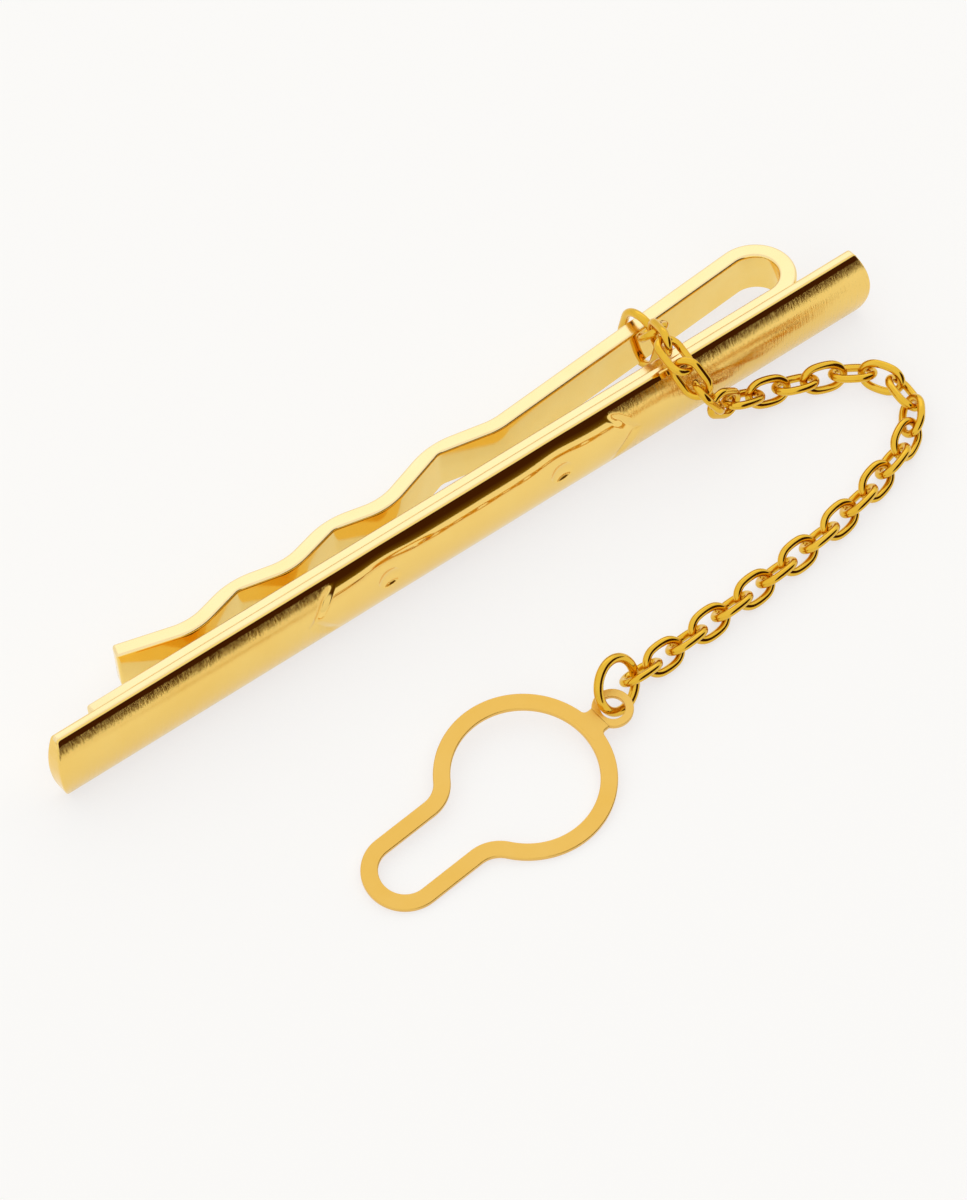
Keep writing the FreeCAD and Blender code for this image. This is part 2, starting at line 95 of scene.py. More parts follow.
# materials
def newFinish(name):
    finish = bpy.data.materials.new(name)
    finish.use_nodes = True
    finish.node_tree.nodes.clear()
    return finish, finish.node_tree


def goldFinish(name, look):
    finish, tree = newFinish(name)
    place = addNode(tree, "ShaderNodeTexCoord").outputs["Object"]
    # handling marks: soft patches a few millimetres wide that dull the polish
    marks = addNode(tree, "ShaderNodeTexNoise",
                    {"Scale": 1 / (look["patchMm"] * mm), "Detail": 4.0, "Roughness": 0.6}, {"Vector": place})
    rough = addNode(tree, "ShaderNodeMapRange",
                    {"From Min": 0.3, "From Max": 0.7, "To Min": look["smooth"], "To Max": look["dull"]},
                    {"Value": marks.outputs["Fac"]})
    # plating varies a little between a redder and a paler gold
    tint = addNode(tree, "ShaderNodeMixRGB",
                   {"Color1": hexToLinear(look["deep"]), "Color2": hexToLinear(look["pale"])},
                   {"Fac": marks.outputs["Fac"]})
    # fine lines: noise squeezed across the lines and stretched along them
    lines = addNode(tree, "ShaderNodeMapping",
                    {"Rotation": look["lineTurn"], "Scale": [1 / (s * mm) for s in look["lineMm"]]},
                    {"Vector": place})
    grain = addNode(tree, "ShaderNodeTexNoise", {"Scale": 1.0, "Detail": 3.0, "Roughness": 0.65},
                    {"Vector": lines.outputs["Vector"]})
    bump = addNode(tree, "ShaderNodeBump",
                   {"Strength": look["lineDepth"], "Distance": look["lineHighMm"] * mm},
                   {"Height": grain.outputs["Fac"]})
    # scatter is how much more light spreads along the bar than across it, square to the brush lines
    brushWay = addNode(tree, "ShaderNodeTangent", {"direction_type": "RADIAL", "axis": "X"})
    metal = addNode(tree, "ShaderNodeBsdfPrincipled",
                    {"Metallic": 1.0, "Anisotropic": look.get("scatter", 0.0), "Anisotropic Rotation": 0.25},
                    {"Base Color": tint.outputs["Color"], "Roughness": rough.outputs["Result"],
                     "Normal": bump.outputs["Normal"], "Tangent": brushWay.outputs["Tangent"]})
    addNode(tree, "ShaderNodeOutputMaterial", {}, {"Surface": metal.outputs["BSDF"]})
    return finish


flat = (0.0, 0.0, 0.0)
goldLooks = {
    # gold plate buffed to a mirror, with the faintest polishing lines along the bar
    "polishedGoldPlate": dict(deep="#F3CA6C", pale="#FADA82", smooth=0.04, dull=0.08, patchMm=6.0,
                              lineTurn=flat, lineMm=(6.0, 0.12, 0.12), lineDepth=0.04, lineHighMm=0.01),
    # gold plate with a satin brush straight across the bar; lines drawn 0.12 mm wide so that they show
    "satinBrushedGoldPlate": dict(deep="#F2C866", pale="#F9D880", smooth=0.16, dull=0.2, patchMm=5.0,
                                  lineTurn=flat, lineMm=(0.12, 1.8, 1.8), lineDepth=1.0, lineHighMm=0.045,
                                  scatter=0.85),
    # long edges: a paler, brighter gold than the sides, a painted highlight along the edges that catch the
    # light
    "highlightPaintedGoldEdge": dict(deep="#F5D99A", pale="#FBE6B4", smooth=0.14, dull=0.22, patchMm=3.0,
                              lineTurn=flat, lineMm=(4.0, 0.1, 0.1), lineDepth=0.08, lineHighMm=0.01),
    # rolled strip, barrel polished: its broad sides mirror the bar and the table a little softly
    "tumbledGoldStrip": dict(deep="#FAD268", pale="#FEE596", smooth=0.07, dull=0.13, patchMm=4.0,
                             lineTurn=flat, lineMm=(5.0, 0.15, 0.15), lineDepth=0.08, lineHighMm=0.01),
    # drawn wire, plated: a deeper gold than the flat pieces
    "platedGoldWire": dict(deep="#DEA824", pale="#EFC64C", smooth=0.07, dull=0.14, patchMm=2.0,
                           lineTurn=flat, lineMm=(0.4, 0.4, 0.4), lineDepth=0.04, lineHighMm=0.01),
    # stamped sheet brushed along its length; lines drawn 0.14 mm wide so that they show
    "brushedGoldSheet": dict(deep="#EBB94F", pale="#F2C96F", smooth=0.3, dull=0.38, patchMm=5.0,
                             lineTurn=(0.0, 0.0, math.radians(-5)), lineMm=(5.0, 0.14, 5.0),
                             lineDepth=0.2, lineHighMm=0.02),
}
finishes = {name: goldFinish(name, look) for name, look in goldLooks.items()}
print("finishes made:", ", ".join(finishes))


# meshes
def gridFaces(rows, columns, closeRows=False):
    # a quad between each point of the grid, the next in its row and the two in the next row; rows are rings
    r, c = np.meshgrid(np.arange(rows - (not closeRows)), np.arange(columns), indexing="ij")
    nextR, nextC = (r + 1) % rows, (c + 1) % columns
    corners = [r * columns + c, r * columns + nextC, nextR * columns + nextC, nextR * columns + c]
    return np.stack(corners, -1).reshape(-1, 4)


def makePiece(name, points, faces, finishNames, nodes, body, paint=None):
    # body is one name, which the piece follows; given two names and the points of a bend instead, the piece
    # is only fixed in place, unbent; paint picks the finish
    mesh = bpy.data.meshes.new(name)
    mesh.from_pydata((np.asarray(points) * mm).tolist(), [], [list(face) for face in faces])
    for finishName in finishNames:
        mesh.materials.append(finishes[finishName])
    if paint is not None:
        mesh.polygons.foreach_set("material_index", np.asarray(paint, np.int32))
    work = bmesh.new()
    work.from_mesh(mesh)
    bmesh.ops.remove_doubles(work, verts=work.verts, dist=1e-7)
    bmesh.ops.recalc_face_normals(work, faces=work.faces)
    work.to_mesh(mesh)
    work.free()
    mesh.polygons.foreach_set("use_smooth", np.ones(len(mesh.polygons), bool))
    mesh.update()
    piece = bpy.data.objects.new(name, mesh)
    scene.collection.objects.link(piece)
    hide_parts(*nodes)
    if isinstance(body, str):
        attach(piece, body)
    else:
        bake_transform(piece)


def roundedSection(halfA, halfB, radius):
    # a rectangle whose corners are quarter circles, with a point just before and after each quarter
    lead = 0.04
    angles = np.radians(np.linspace(0, 90, 7))
    quarter = np.stack([np.cos(angles), np.sin(angles)], 1) * radius
    quarter = np.concatenate([[[radius, -lead]], quarter, [[-lead, radius]]])
    loop = []
    for c, s, signA, signB in ((1, 0, 1, 1), (0, 1, -1, 1), (-1, 0, -1, -1), (0, -1, 1, -1)):
        turned = np.stack([quarter[:, 0] * c - quarter[:, 1] * s, quarter[:, 0] * s + quarter[:, 1] * c], 1)
        loop.append(turned + [signA * (halfA - radius), signB * (halfB - radius)])
    return np.concatenate(loop)


# wire rings
def wireRing(middle, along, normal, innerLength, innerWidth, wire, oval=0.0, perHalf=40, section=18):
    # two half circles moved apart along the ring, drawn in towards an ellipse by the share oval
    reach, radius = (innerLength - innerWidth) / 2, (innerWidth + wire) / 2
    half = np.radians(np.linspace(-90, 90, perHalf))
    # a round ring has no straight stretches
    straight = np.linspace(reach, -reach, 9)[1:-1] if reach > 0.01 else np.zeros(0)
    x = np.concatenate([radius * np.cos(half) + reach, straight, -radius * np.cos(half) - reach, -straight])
    y = np.concatenate([radius * np.sin(half), np.full(len(straight), radius)])
    y = np.concatenate([y, -y])
    shrink = 1 / np.hypot(x / (reach + radius), y / radius)
    x, y = x * (1 + oval * (shrink - 1)), y * (1 + oval * (shrink - 1))
    side = np.cross(normal, along)
    centre = middle + np.outer(x, along) + np.outer(y, side)
    # a circle of wire stands square to the way round
    way = np.roll(centre, -1, axis=0) - np.roll(centre, 1, axis=0)
    out = np.cross(way, normal)
    out = out / np.linalg.norm(out, axis=1)[:, None]
    around = np.radians(np.linspace(0, 360, section, endpoint=False))
    points = (centre[:, None, :] + wire / 2 * (np.cos(around)[None, :, None] * out[:, None, :]
                                               + np.sin(around)[None, :, None] * np.asarray(normal)))
    return points.reshape(-1, 3), gridFaces(len(centre), section, closeRows=True)


def boxMiddle(node):
    low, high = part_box(node)
    return (np.array(low) + np.array(high)) / 2 / mm


def jointPlace(name):
    return np.array(joints[name]["pos_m"]) / mm


# millimetres; oval is the share of the way from a stadium to an ellipse
chainSizes = {"inner": 2.228, "wide": 1.18, "wire": 0.54, "oval": 0.6, "drapedLinks": 6, "drapedOval": 0.1}
for number in range(1, linkCount + 1):
    node = f"chain_link_{number:02d}"
    following = "ring_swing" if number == linkCount else f"link_{number + 1:02d}_swing"
    middle = boxMiddle(node)
    along = unit(jointPlace(following) - middle)
    lateral = unit(joints[following]["axis"])
    # the first links turn sharply over the bar, so they keep fuller ends
    oval = chainSizes["drapedOval"] if number <= chainSizes["drapedLinks"] else chainSizes["oval"]
    points, faces = wireRing(middle, along, unit(np.cross(along, lateral)), chainSizes["inner"],
                             chainSizes["wide"], chainSizes["wire"], oval, perHalf=24, section=16)
    makePiece(f"chainLink{number:02d}", points, faces, ["platedGoldWire"], [node],
              f"link_{number:02d}")
print("chain links made")

ovalSizes = {"inner": 4.1, "wide": 2.58, "wire": 0.58, "tilt": 18.0}
uprightWay = -unit(joints["tongue_open"]["axis"])
tongueWay = unit(joints["ring_slide"]["axis"])
# the chain draws the ring's top towards the bar
ovalTilt = math.radians(ovalSizes["tilt"])
ovalWay = uprightWay * math.cos(ovalTilt) + np.cross(tongueWay, uprightWay) * math.sin(ovalTilt)
points, faces = wireRing(boxMiddle("tongue_ring"), ovalWay, tongueWay, ovalSizes["inner"], ovalSizes["wide"],
                         ovalSizes["wire"])
makePiece("tongueRing", points, faces, ["platedGoldWire"], ["tongue_ring"], "tongue_ring")

jumpSizes = {"bore": 2.82, "wire": 0.64}
jumpNormal = unit(joints["loop_swing"]["axis"])
jumpLevel = unit(np.cross(jumpNormal, (0, 0, 1)))
points, faces = wireRing(jointPlace("loop_swing"), jumpLevel, jumpNormal, jumpSizes["bore"],
                         jumpSizes["bore"], jumpSizes["wire"], perHalf=49, section=20)
makePiece("jumpRing", points, faces, ["platedGoldWire"], ["loop_ring"], "loop_ring")
print("rings made")


# front bar
backWay = unit(np.cross(uprightWay, (1, 0, 0)))


def leaned(x, y, z):
    # clip coordinates to the row frame: y goes to the bar's back, z up its leaning height
    x, y, z = np.broadcast_arrays(x, y, z)
    return x[..., None] * np.array([1.0, 0, 0]) + y[..., None] * backWay + z[..., None] * uprightWay


# millimetres; grooveSharp, grooveFull, grooveEnd, faceFrom and faceFull are shares
barSizes = {
    "length": 64.8, "height": 5.3, "edge": 0.7, "bulge": 0.84, "endSwell": 0.6,
    "backRound": 0.28, "frontRound": 0.34, "endRound": 0.14,
    "chevron": 12.8, "chevronRun": 2.0, "bendFrom": 8.6, "bendTo": 19.0, "bendEven": 0.6,
    "grooveHalf": 0.56, "grooveDepth": 0.2, "grooveSharp": 0.85, "grooveFull": 0.45, "grooveEnd": 0.85,
    "dimple": 6.9, "dimpleSpan": 1.8, "dimpleReach": 2.0, "dimpleWide": 2.0, "dimpleDepth": 0.36,
    "dentWide": 1.8, "dentDepth": 0.1, "swellFrom": 20.0, "swellTo": 31.0,
    "faceFrom": 0.75, "faceFull": 1.02, "polishedRim": 0.36, "edgeMargin": 0.02,
}


def arcRadius(chord, rise):
    # radius of the arc that rises so far over its chord: (chord squared / 4 + rise squared) / (2 rise)
    return (chord * chord / 4 + rise * rise) / (2 * rise)


def barSection(s):
    # half of the outline from mid back over the top edge to mid face, then mirrored
    half, depth = s["height"] / 2, s["edge"] + s["bulge"]
    crown = arcRadius(s["height"], s["bulge"])
    topTilt = math.asin(half / crown)
    # a row this close to each rounding keeps the flat beside it flat
    lead, tiltLead = 0.05, 0.006
    backZ = np.append(np.linspace(0, half - s["backRound"] - lead, 20), half - s["backRound"])
    back = np.stack([np.zeros_like(backZ), backZ], 1)
    a = np.radians(np.linspace(0, 90, 6)[1:])
    r = s["backRound"]
    backCorner = np.stack([-r + r * np.cos(a), half - r + r * np.sin(a)], 1)
    # the front corner turns from straight up to the crown's own tilt at the top
    r = s["frontRound"]
    reach = r * math.tan((math.pi / 2 - topTilt) / 2)
    frontY = -s["edge"] + reach
    a = np.linspace(0, math.pi / 2 - topTilt, 7)
    frontCorner = np.stack([frontY - r * np.sin(a), half - r + r * np.cos(a)], 1)
    topFlat = np.stack([np.linspace(-s["backRound"] - lead, frontY + lead, 3), np.full(3, half)], 1)
    # the arched face from where the corner ends down to mid height
    start = topTilt - reach / crown
    tilt = np.linspace(start - tiltLead, 0, 52)
    face = np.stack([-depth + crown * (1 - np.cos(tilt)), crown * np.sin(tilt)], 1)
    upper = np.concatenate([back, backCorner, topFlat, frontCorner, face])
    lower = upper[-2:0:-1] * [1, -1]
    return np.concatenate([upper, lower]) + [0, half]


def barColumns(s):
    # columns crowd at the chevrons and dimples, and lie wide apart on plain stretches
    dimpleStart, dimpleEnd = s["dimple"] - s["dimpleSpan"], s["dimple"] + s["dimpleSpan"]
    grooveStart, grooveStop = s["chevron"] - 2 * s["grooveHalf"], s["chevron"] + 2 * s["grooveHalf"]
    last, lead = s["length"] / 2 - s["endRound"], 0.1
    right = np.unique(np.round(np.concatenate([
        np.linspace(0, dimpleStart, 8), np.linspace(dimpleStart, dimpleEnd, 91),
        np.linspace(dimpleEnd, grooveStart, 8), np.linspace(grooveStart, grooveStop, 25),
        np.linspace(grooveStop, last - lead, 24), [last],
    ]), 6))
    return np.concatenate([-right[:0:-1], right])


def barSurface(s):
    # the section carried along the columns, then bent at the chevrons, swelled at the ends and pressed in
    half, depth = s["height"] / 2, s["edge"] + s["bulge"]
    section, columns = barSection(s), barColumns(s)
    ends = np.radians(np.linspace(0, 90, 6)[1:])
    inset = s["endRound"] * (1 - np.cos(ends))
    forward = s["endRound"] * np.sin(ends)
    collapse = np.array([0.35, 0.7, 1.0])
    lastX = columns[-1]
    # rows past each end: first rounding over, then closing on the middle of the end face
    x = np.concatenate([columns, lastX + forward, np.full(len(collapse), lastX + s["endRound"])])
    x = np.concatenate([-x[:len(columns) - 1:-1], x])
    shrink = np.concatenate([np.zeros(len(columns)), inset, np.full(len(collapse), s["endRound"])])
    shrink = np.concatenate([shrink[:len(columns) - 1:-1], shrink])
    close = np.concatenate([np.zeros(len(columns) + len(inset)), collapse])
    close = np.concatenate([close[:len(columns) - 1:-1], close])
    rowX, shrink, close = x[:, None], shrink[:, None], close[:, None]
    y, z = section[None, :, 0], section[None, :, 1]
    midY, halfY = -depth / 2, depth / 2
    y = midY + (y - midY) * (1 - shrink / halfY) * (1 - close)
    z = half + (z - half) * (1 - shrink / half)
    # chevron columns bend inward towards the long edges, so the groove runs along one column
    bend = smoothStep(s["bendFrom"], s["chevron"] - s["bendEven"], np.abs(rowX))
    bend = bend * (1 - smoothStep(s["chevron"] + s["bendEven"], s["bendTo"], np.abs(rowX)))
    place = rowX - np.sign(rowX) * s["chevronRun"] * np.abs(z - half) / half * bend
    # the ends swell outward at mid height by an arc
    endArc = arcRadius(s["height"], s["endSwell"])
    swell = np.sqrt(endArc ** 2 - (z - half) ** 2) - endArc
    place = place + np.sign(rowX) * swell * smoothStep(s["swellFrom"], s["swellTo"], np.abs(rowX))
    onFace = smoothStep(s["edge"] * s["faceFrom"], s["edge"] * s["faceFull"], -y)
    # a chevron is a wide shallow V, deepest along its middle
    across = np.clip(np.abs(np.abs(rowX) - s["chevron"]) / s["grooveHalf"], 0, 1)
    sharp, soft = s["grooveSharp"], 1 - s["grooveSharp"]
    groove = s["grooveDepth"] * (sharp * (1 - across) + soft * (1 - smoothStep(0, 1, across)))
    # and it runs out before the long edges
    groove = groove * (1 - smoothStep(s["grooveFull"], s["grooveEnd"], np.abs(z - half) / half))
    # a ball pressed into the face leaves each dimple
    ball = arcRadius(s["dimpleWide"], s["dimpleDepth"])
    away = (np.abs(place) - s["dimple"]) ** 2 + (z - half) ** 2
    ballY = s["dimpleDepth"] - depth - ball + np.sqrt(np.maximum(ball ** 2 - away, 0))
    # the weld behind each dimple draws the face in around it
    dent = s["dentDepth"] * np.exp(-away / s["dentWide"] ** 2)
    y = y + (groove + dent) * onFace * (1 - close)
    y = np.where((y < -s["edge"]) & (away < s["dimpleReach"] ** 2), np.maximum(y, ballY), y)
    points = leaned(place, y, z)
    faces = gridFaces(*points.shape[:2])
    rowOf = faces[:, 0] // points.shape[1]
    satin = np.abs((x[rowOf] + x[np.minimum(rowOf + 1, len(x) - 1)]) / 2) > s["chevron"]
    # the brush stops short of the long edges, which keep a polished rim
    inner = np.abs(section[:, 1] - half) < half - s["polishedRim"]
    satin = satin & inner[faces[:, 0] % len(section)]
    # the flats along the top and bottom long edges take the paler edge gold, a painted highlight
    onHighlightEdge = (np.abs(section[:, 1] - half) > half - s["edgeMargin"]) & (section[:, 0] > -s["edge"])
    edge = onHighlightEdge[faces[:, 0] % len(section)] & onHighlightEdge[faces[:, 1] % len(section)]
    return points.reshape(-1, 3), faces, np.where(edge, 2, satin)


points, faces, panel = barSurface(barSizes)
makePiece("frontBar", points, faces, ["polishedGoldPlate", "satinBrushedGoldPlate", "highlightPaintedGoldEdge"],
          ["front_bar"], "clip", panel)
print("front bar made")

# spring strip, in millimetres and degrees
stripSizes = {
    "width": 3.1, "thick": 1.15, "low": 1.4, "edgeRound": 0.2,
    "baseEnd": -28.5, "bowX": 26.11, "bowBore": 1.69, "slope": 4.9,
    "tip": -24.6, "flareRun": 5.1, "flareRise": 1.55, "wavePitch": 7.65, "waveRise": 1.12, "waveStep": 0.18,
    "waveGap": 0.4, "firstRise": 1.8, "firstRun": 5.1, "leadRun": 4.4,
    "crestInside": 0.8, "crestOutside": 6.0, "troughInside": 4.0, "troughOutside": 4.5, "bendMargin": 0.03,
}


def tongueCorners(s, start):
    # corners of the tongue's middle line: flared tip, two waves, a higher one and the slope to the bow
    low = 1.5 * s["thick"] + s["waveGap"]
    trough = s["tip"] + s["flareRun"]
    corners = [(s["tip"], low + s["flareRise"])]
    for wave in range(2):
        corners += [(trough, low), (trough + s["wavePitch"] / 2, low + s["waveRise"])]
        trough += s["wavePitch"]
        low += s["waveStep"]
    crest = trough + s["firstRun"]
    lead = crest + s["leadRun"]
    corners += [(trough, low), (crest, low + s["firstRise"])]
    corners += [(lead, start[1] - (start[0] - lead) * math.tan(math.radians(s["slope"]))), tuple(start)]
    return np.array(corners[::-1])


def offsetSide(corners, away):
    # the corners moved to the left of the way by an even distance, meeting on each corner's bisector
    way = np.diff(corners, axis=0)
    way = way / np.linalg.norm(way, axis=1)[:, None]
    left = np.stack([-way[:, 1], way[:, 0]], 1)
    before, after = np.concatenate([left[:1], left]), np.concatenate([left, left[-1:]])
    return corners + away * (before + after) / (1 + np.sum(before * after, axis=1))[:, None]


def roundCorners(corners, crestBend, troughBend):
    # each inner corner becomes an arc that touches both of its straight stretches
    path = [corners[:1]]
    for before, corner, after in zip(corners, corners[1:], corners[2:]):
        a, b = unit(corner - before), unit(after - corner)
        turn = math.atan2(a[0] * b[1] - a[1] * b[0], a @ b)
        hand = math.copysign(1, turn)
        bend = crestBend if hand > 0 else troughBend
        enter = corner - a * bend * math.tan(abs(turn) / 2)
        left = np.array([-a[1], a[0]])
        centre = enter + left * hand * bend
        steps = np.linspace(0, turn, 16)[:, None]
        path.append(centre - hand * bend * (left * np.cos(steps) - a * np.sin(steps)))
    return np.concatenate(path + [corners[-1:]])


def stripSide(s, hand):
    # one side of the strip: along the base leg, round the bow and back to the tongue's flared tip
    half, slope = s["thick"] / 2, math.radians(s["slope"])
    bow = np.array([s["bowX"], s["bowBore"] + s["thick"]])
    angle = np.linspace(-math.pi / 2, math.pi / 2 + slope, 60)
    around = np.stack([np.cos(angle), np.sin(angle)], 1)
    arc = bow + (s["bowBore"] + half - hand * half) * around
    baseX = np.linspace(s["baseEnd"] + s["edgeRound"], s["bowX"], 12)[:-1]
    base = np.stack([baseX, np.full(11, half + hand * half)], 1)
    corners = tongueCorners(s, bow + (s["bowBore"] + half) * around[-1])
    corners[-1] -= unit(corners[-1] - corners[-2]) * s["edgeRound"]
    bends = (s["crestInside"], s["troughOutside"]) if hand > 0 else (s["crestOutside"], s["troughInside"])
    return np.concatenate([base, arc, roundCorners(offsetSide(corners, hand * half), *bends)[1:]])


def stripSurface(s):
    # a rounded rectangle carried between the strip's two sides
    inside, outside = stripSide(s, 1), stripSide(s, -1)
    path, across = (inside + outside) / 2, (inside - outside) / s["thick"]
    caps = np.radians(np.linspace(0, 90, 6)[1:])
    rows = [(path, across, np.zeros(len(path)))]
    for end, beside in ((0, 1), (-1, -2)):
        way = unit(path[end] - path[beside])
        forward = path[end] + s["edgeRound"] * np.sin(caps)[:, None] * way
        row = (forward, np.repeat(across[end][None], len(caps), 0), s["edgeRound"] * (1 - np.cos(caps)))
        rows = [tuple(v[::-1] for v in row)] + rows if end == 0 else rows + [row]
    place, across, inset = (np.concatenate([row[i] for row in rows]) for i in range(3))
    full = roundedSection(s["thick"] / 2, s["width"] / 2, s["edgeRound"])
    # rows near the ends shrink by their inset from every side
    scale = 1 - inset[:, None] / np.array([s["thick"] / 2, s["width"] / 2])
    u = full[None, :, 0] * scale[:, :1]
    v = full[None, :, 1] * scale[:, 1:]
    x = place[:, :1] + across[:, :1] * u
    y = place[:, 1:] + across[:, 1:] * u
    points = leaned(x, y, s["low"] + s["width"] / 2 + v)
    count = points.shape[1]
    faces = gridFaces(*points.shape[:2])
    # the strip's top and bottom edges take the paler edge gold, a painted highlight
    onHighlightEdge = np.abs(full[:, 1]) > s["width"] / 2 - 0.3 * s["edgeRound"]
    edge = onHighlightEdge[faces[:, 0] % count] & onHighlightEdge[faces[:, 1] % count]
    faces = faces.tolist() + [list(range(count)), list(range((len(place) - 1) * count, len(place) * count))]
    return points.reshape(-1, 3), faces, np.append(edge, [False, False])


points, faces, edge = stripSurface(stripSizes)
# the ends of a bend across the gap between base leg and tongue; makePiece does not use them, so the strip is
# not bent
legSide = stripSizes["thick"] + stripSizes["bendMargin"]
tongueSide = stripSizes["thick"] + stripSizes["waveGap"] - stripSizes["bendMargin"]
bendStart = leaned(stripSizes["bowX"], legSide, stripSizes["low"]) * mm
bendEnd = leaned(stripSizes["bowX"], tongueSide, stripSizes["low"]) * mm
makePiece("springStrip", points, faces, ["tumbledGoldStrip", "highlightPaintedGoldEdge"],
          ["clip_base_leg", "clip_bow", "clip_tongue"],
          ("clip", "tongue", bendStart.tolist(), bendEnd.tolist()), edge)
print("spring strip made")

# button loop, in millimetres and degrees
loopSizes = {
    "bore": 9.45, "band": 1.1, "sheet": 0.35, "slot": 3.3, "reach": 12.9, "neckRound": 1.75,
    "edgeRound": 0.08, "turn": 5.0, "lugReach": 7.425, "lugBore": 1.6, "lugBand": 0.55, "lugNeck": 1.7,
    "lugRound": 0.35, "lugOverlap": 0.85, "lugProud": 0.002, "flareLead": 0.05, "flareShare": 0.8,
}
eyeMiddle = np.array(mounts["button_eye"]["pos_m"]) / mm
loopNormal = unit(mounts["button_eye"]["axis"])
loopTurn = math.radians(loopSizes["turn"])
levelWay = np.array([math.cos(loopTurn), math.sin(loopTurn), 0])
# straight above or below the level way, in the loop's own tilted plane
loopAlong = unit(levelWay - np.array([0, 0, levelWay @ loopNormal / loopNormal[2]]))
loopSide = np.cross(loopNormal, loopAlong)


def keyhole(eye, half, endX, fillet):
    # eye arc, fillet into the stem, stem side, round end, and the same back, each with a fixed count
    filletX = -math.sqrt((eye + fillet) ** 2 - (half + fillet) ** 2)
    lean = math.atan2(half + fillet, filletX)
    arc = np.linspace(-lean, lean, 97)
    arc = eye * np.stack([np.cos(arc), np.sin(arc)], 1)
    a = np.linspace(lean - math.pi, -math.pi / 2, 14)[1:]
    corner = np.array([filletX, half + fillet]) + fillet * np.stack([np.cos(a), np.sin(a)], 1)
    side = np.stack([np.linspace(filletX, endX, 10)[1:], np.full(9, half)], 1)
    a = np.linspace(math.pi / 2, 3 * math.pi / 2, 41)[1:]
    end = np.array([endX, 0]) + half * np.stack([np.cos(a), np.sin(a)], 1)
    back = np.concatenate([side[-2::-1], [[filletX, half]], corner[-2::-1]]) * [1, -1]
    return np.concatenate([arc, corner, side, end, back])


def sheetBand(inner, outer, sheet, edge):
    # the sheet between two outlines: a rectangle with rounded edges, stretched across each gap
    halfBand = 0.55
    section = roundedSection(halfBand, sheet / 2, edge)
    along = (section[:, 0] / (2 * halfBand) + 0.5)[None, :, None]
    flatPoints = inner[:, None, :] * (1 - along) + outer[:, None, :] * along
    high = np.broadcast_to(section[:, 1], (len(inner), len(section)))
    return flatPoints, high, gridFaces(len(inner), len(section), closeRows=True)


def onLoop(flatPoints, high):
    # flat coordinates to the row frame, in the loop's own tilted plane
    return (eyeMiddle + flatPoints[..., :1] * loopAlong + flatPoints[..., 1:] * loopSide
            + high[..., None] * loopNormal).reshape(-1, 3)


def loopSurface(s):
    # a keyhole band, a lug ring and the neck between them, as one mesh
    eye, half = s["bore"] / 2, s["slot"] / 2
    endX = half + s["band"] - s["reach"]
    inner = keyhole(eye, half, endX, s["neckRound"] + s["band"])
    outer = keyhole(eye + s["band"], half + s["band"], endX, s["neckRound"])
    flatPoints, high, faces = sheetBand(inner, outer, s["sheet"], s["edgeRound"])
    parts = [(onLoop(flatPoints, high), faces)]
    # the lug is a ring of the same sheet
    a = np.radians(np.linspace(0, 360, 64, endpoint=False))
    circle = np.stack([np.cos(a), np.sin(a)], 1)
    middle = np.array([s["lugReach"], 0])
    inner = middle + circle * s["lugBore"] / 2
    outer = middle + circle * (s["lugBore"] / 2 + s["lugBand"])
    flatPoints, high, faces = sheetBand(inner, outer, s["sheet"], s["edgeRound"])
    parts.append((onLoop(flatPoints, high), faces))
    # the neck flares by its fillet where it meets the eye
    eyeEdge = math.sqrt((eye + s["band"]) ** 2 - s["lugNeck"] ** 2 / 4)
    x = np.linspace(eyeEdge - s["lugOverlap"], s["lugReach"] - s["lugBore"] / 2 - s["lugBand"] * 0.5, 24)
    flare = np.clip(1 - (x - eyeEdge + s["flareLead"]) / s["lugRound"], 0, 1)
    neckHalf = s["lugNeck"] / 2
    width = neckHalf + s["lugRound"] * (1 - np.sqrt(1 - flare ** 2)) * s["flareShare"]
    section = roundedSection(neckHalf, s["sheet"] / 2 + s["lugProud"], s["edgeRound"])
    sideways = section[None, :, 0] / neckHalf * width[:, None]
    flatPoints = np.stack(np.broadcast_arrays(x[:, None], sideways), -1)
    high = np.broadcast_to(section[:, 1], flatPoints.shape[:2])
    count = len(section)
    parts.append((onLoop(flatPoints, high), gridFaces(len(x), count)))
    starts = np.cumsum([0] + [len(partPoints) for partPoints, partFaces in parts])
    quads = np.concatenate([partFaces + start for (partPoints, partFaces), start in zip(parts, starts)])
    # the neck comes last, and a flat cap closes each of its ends
    caps = [list(range(first, first + count)) for first in (starts[-2], starts[-1] - count)]
    return np.concatenate([partPoints for partPoints, partFaces in parts]), quads.tolist() + caps


points, faces = loopSurface(loopSizes)
makePiece("buttonLoop", points, faces, ["brushedGoldSheet"], ["button_loop"],
          "button_loop")
print("button loop made")


# floor, light and camera
floorSizes = {"half": 1.5, "paper": "#A6A091", "glow": "#F5F8FF", "lift": 0.68, "fibreMm": 0.4}


